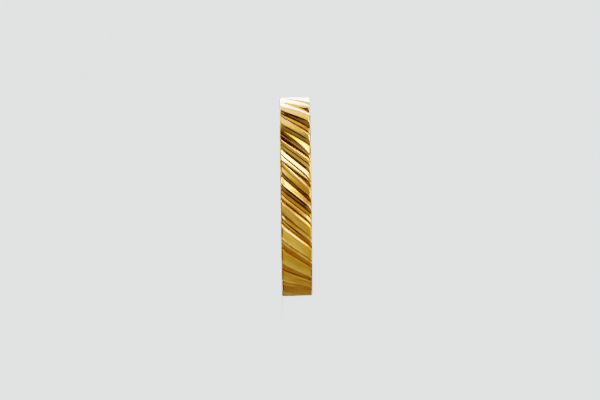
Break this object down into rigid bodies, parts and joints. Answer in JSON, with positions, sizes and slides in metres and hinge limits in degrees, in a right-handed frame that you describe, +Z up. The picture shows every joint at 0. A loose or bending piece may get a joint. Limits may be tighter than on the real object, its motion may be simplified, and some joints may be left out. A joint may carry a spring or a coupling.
{
  "type": "gold ring",
  "caption": "Plain gold band ring with a smooth bore and slanted, uneven flutes carved all round its outside.",
  "frame": {"origin": "middle of the ring on the plane that it lies on, which is its lower side face", "axes": "+Z up along the ring's own axis and the way that a finger goes in; -Y is the side that the picture shows"},
  "size_m": [0.0196, 0.0196, 0.003],
  "materials": {
    "polished_gold": "polished yellow gold, lightly brushed by wear, with darker gold down in the flutes"
  },
  "bodies": {
    "root": {"fluted_band": "polished_gold"}
  },
  "joints": []
}
